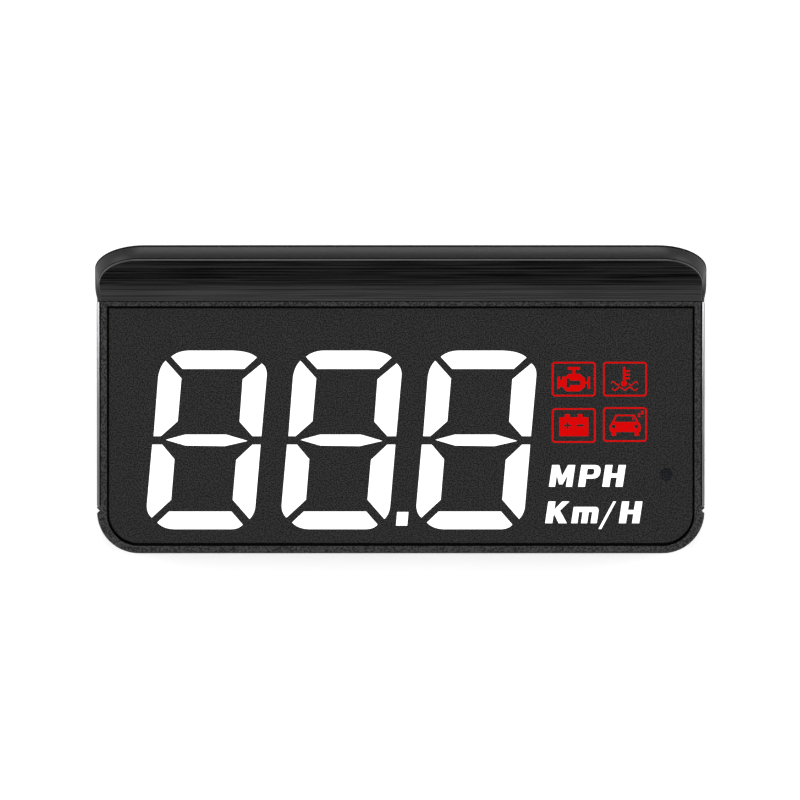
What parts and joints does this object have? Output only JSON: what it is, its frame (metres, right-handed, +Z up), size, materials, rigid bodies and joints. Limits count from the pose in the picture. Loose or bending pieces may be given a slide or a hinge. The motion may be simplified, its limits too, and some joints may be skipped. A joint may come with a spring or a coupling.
{
  "type": "dashboard head-up speed display",
  "caption": "Flat dashboard speed display with a lit three-figure panel, warning icons, a light sensor and a ribbed sun hood; rear power inlet, slide switch and rocking key.",
  "frame": {"origin": "middle of the object's bounding box, on the surface that the rubber feet stand on", "axes": "+Z up out of the lit panel, +Y towards the sun hood and the windscreen, +X to the driver's right"},
  "size_m": [0.09, 0.0454, 0.017],
  "materials": {
    "case_plastic": "fine spark-eroded texture, matte black ABS",
    "hood_plastic": "satin black ABS, ribbed inner face",
    "trim_satin_metal": "satin silver strip",
    "mask_film": "fine-grained matte smoked panel",
    "figure_white": "clear inlay lit white",
    "figure_red": "clear inlay lit red",
    "window_tint": "dark tinted window",
    "sensor_ceramic": "unglazed ceramic disc",
    "sensor_film": "dark photo-resistive track",
    "reflector_white": "white moulded reflector",
    "diffuser_film": "frosted film",
    "board_green": "solder mask over glass-epoxy laminate",
    "led_package": "phosphor-filled package",
    "chip_black": "moulded epoxy",
    "lead_tin": "tin-plated",
    "can_aluminium": "drawn can",
    "socket_steel": "nickel-plated sheet",
    "contact_gold": "gold-plated contacts",
    "control_plastic": "black moulded nylon",
    "screw_steel": "black zinc-plated",
    "foot_rubber": "soft matte rubber",
    "part_ceramic": "fired chip body"
  },
  "bodies": {
    "housing": {"base_shell": "case_plastic", "upper_case": "case_plastic", "sun_hood": "hood_plastic", "left_trim_strip": "trim_satin_metal", "right_trim_strip": "trim_satin_metal", "display_mask": "mask_film", "rubber_feet": "foot_rubber", "digit_1_segments": "figure_white", "digit_2_segments": "figure_white", "digit_3_segments": "figure_white", "decimal_point": "figure_white", "mph_label": "figure_white", "kmh_label": "figure_white", "engine_icon": "figure_red", "coolant_icon": "figure_red", "battery_icon": "figure_red", "rest_icon": "figure_red", "sensor_window": "window_tint", "light_sensor": "sensor_ceramic", "sensor_leads": "lead_tin", "sensor_track": "sensor_film", "diffuser_sheet": "diffuser_film", "light_box": "reflector_white", "main_board": "board_green", "digit_leds": "led_package", "icon_leds": "led_package", "microcontroller": "chip_black", "led_driver": "chip_black", "chip_pins": "lead_tin", "voltage_regulator": "chip_black", "power_inductor": "part_ceramic", "clock_crystal": "can_aluminium", "capacitors": "can_aluminium", "chip_resistors": "part_ceramic", "buzzer": "chip_black", "socket_shell": "socket_steel", "socket_insulator": "control_plastic", "socket_contacts": "contact_gold", "switch_body": "socket_steel", "key_body": "control_plastic", "snap_dome": "socket_steel", "case_screws": "screw_steel", "board_screws": "screw_steel"},
    "switch_slider": {"switch_knob": "control_plastic"},
    "key_press": {"key_carrier": "control_plastic"},
    "key_rocker": {"tilt_key": "control_plastic"}
  },
  "joints": [
    {"name": "power_switch", "type": "slide", "parent": "housing", "child": "switch_slider", "axis": [1, 0, 0], "range_m": [0, 0.002]},
    {"name": "key_push", "type": "slide", "parent": "housing", "child": "key_press", "axis": [0, -1, 0], "range_m": [0, 0.0004], "stiffness_N_per_m": 600},
    {"name": "key_tilt", "type": "hinge", "parent": "key_press", "child": "key_rocker", "pos_m": [-0.026, 0.0159, 0.0069], "axis": [0, 0, 1], "range_deg": [-10, 10], "stiffness_Nm_per_rad": 0.01}
  ]
}
